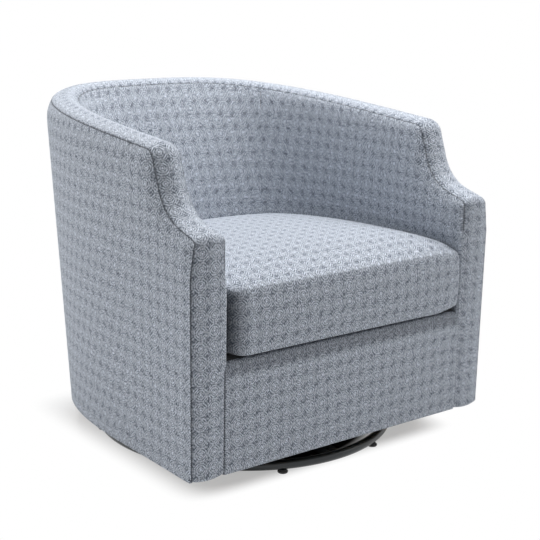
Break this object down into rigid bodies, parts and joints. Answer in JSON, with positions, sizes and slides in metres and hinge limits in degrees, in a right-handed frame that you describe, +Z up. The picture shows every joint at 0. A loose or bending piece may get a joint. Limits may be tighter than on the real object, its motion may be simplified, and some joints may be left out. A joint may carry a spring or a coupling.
{
  "type": "swivel glider barrel chair",
  "caption": "Upholstered barrel armchair with stepped ogee arms and a loose box cushion, that swivels on a round steel base and glides on hanging links.",
  "frame": {"origin": "on the floor, under the middle of the chair's outline", "axes": "+Z up, the sitter faces -Y, +X to the viewer's right from the front; the swivel axis is upright at y = -0.056"},
  "size_m": [0.854, 0.898, 0.8],
  "materials": {
    "upholstery": "blue-grey jacquard weave, matte",
    "deck_felt": "grey deck cloth over felt",
    "lining": "black non-woven dust cover",
    "frame_wood": "raw plywood and hardwood",
    "spring_steel": "drawn spring wire",
    "black_steel": "black powder coat, semi-gloss",
    "zinc_steel": "zinc plated",
    "black_plastic": "moulded black glide"
  },
  "bodies": {
    "base": {"base_ring": "black_steel", "base_cross": "black_steel", "ring_foot_1": "black_plastic", "ring_foot_2": "black_plastic", "ring_foot_3": "black_plastic", "ring_foot_4": "black_plastic", "ring_foot_5": "black_plastic", "ring_foot_6": "black_plastic", "ring_foot_7": "black_plastic", "ring_foot_8": "black_plastic", "swivel_lower_plate": "zinc_steel", "swivel_ball_ring": "zinc_steel", "king_pin": "zinc_steel", "king_pin_nut": "zinc_steel"},
    "carriage": {"swivel_upper_plate": "zinc_steel", "carriage_plate": "black_steel", "glide_upright_front_left": "black_steel", "glide_upright_front_right": "black_steel", "glide_upright_rear_left": "black_steel", "glide_upright_rear_right": "black_steel"},
    "link_front_left": {"glide_link_front_left": "zinc_steel"},
    "link_front_right": {"glide_link_front_right": "zinc_steel"},
    "link_rear_left": {"glide_link_rear_left": "zinc_steel"},
    "link_rear_right": {"glide_link_rear_right": "zinc_steel"},
    "seat": {"seat_cushion": "upholstery", "inside_back": "upholstery", "inside_arm_left": "upholstery", "inside_arm_right": "upholstery", "outside_back": "upholstery", "outside_arm_left": "upholstery", "outside_arm_right": "upholstery", "back_band": "upholstery", "arm_band_left": "upholstery", "arm_band_right": "upholstery", "front_panel": "upholstery", "seat_deck": "deck_felt", "dust_cover": "lining", "arm_frame_left": "frame_wood", "arm_frame_right": "frame_wood", "back_bottom_rail": "frame_wood", "back_top_rail": "frame_wood", "back_stile_left": "frame_wood", "back_stile_right": "frame_wood", "front_rail": "frame_wood", "seat_ledger_left": "frame_wood", "seat_ledger_right": "frame_wood", "rear_spring_rail": "frame_wood", "mechanism_rail_front": "frame_wood", "mechanism_rail_rear": "frame_wood", "seat_spring_1": "spring_steel", "seat_spring_2": "spring_steel", "seat_spring_3": "spring_steel", "seat_spring_4": "spring_steel", "seat_spring_5": "spring_steel", "hanger_front_left": "black_steel", "hanger_front_right": "black_steel", "hanger_rear_left": "black_steel", "hanger_rear_right": "black_steel"}
  },
  "joints": [
    {"name": "swivel", "type": "hinge", "parent": "base", "child": "carriage", "pos_m": [0, -0.056, 0.0349], "axis": [0, 0, 1], "continuous": true},
    {"name": "glide", "type": "hinge", "parent": "carriage", "child": "link_front_left", "pos_m": [-0.1525, -0.186, 0.186], "axis": [1, 0, 0], "range_deg": [-20, 20]},
    {"name": "glide_front_right", "type": "hinge", "parent": "carriage", "child": "link_front_right", "pos_m": [0.1525, -0.186, 0.186], "axis": [1, 0, 0], "range_deg": [-20, 20]},
    {"name": "glide_rear_left", "type": "hinge", "parent": "carriage", "child": "link_rear_left", "pos_m": [-0.1525, 0.074, 0.186], "axis": [1, 0, 0], "range_deg": [-20, 20]},
    {"name": "glide_rear_right", "type": "hinge", "parent": "carriage", "child": "link_rear_right", "pos_m": [0.1525, 0.074, 0.186], "axis": [1, 0, 0], "range_deg": [-20, 20]},
    {"name": "seat_hang", "type": "hinge", "parent": "link_front_left", "child": "seat", "pos_m": [-0.1525, -0.186, 0.076], "axis": [1, 0, 0], "range_deg": [-20, 20]}
  ],
  "couplings": [
    {"joint": "seat_hang", "follows": "glide", "ratio": -1},
    {"joint": "glide_front_right", "follows": "glide", "ratio": 1},
    {"joint": "glide_rear_left", "follows": "glide", "ratio": 1},
    {"joint": "glide_rear_right", "follows": "glide", "ratio": 1}
  ]
}
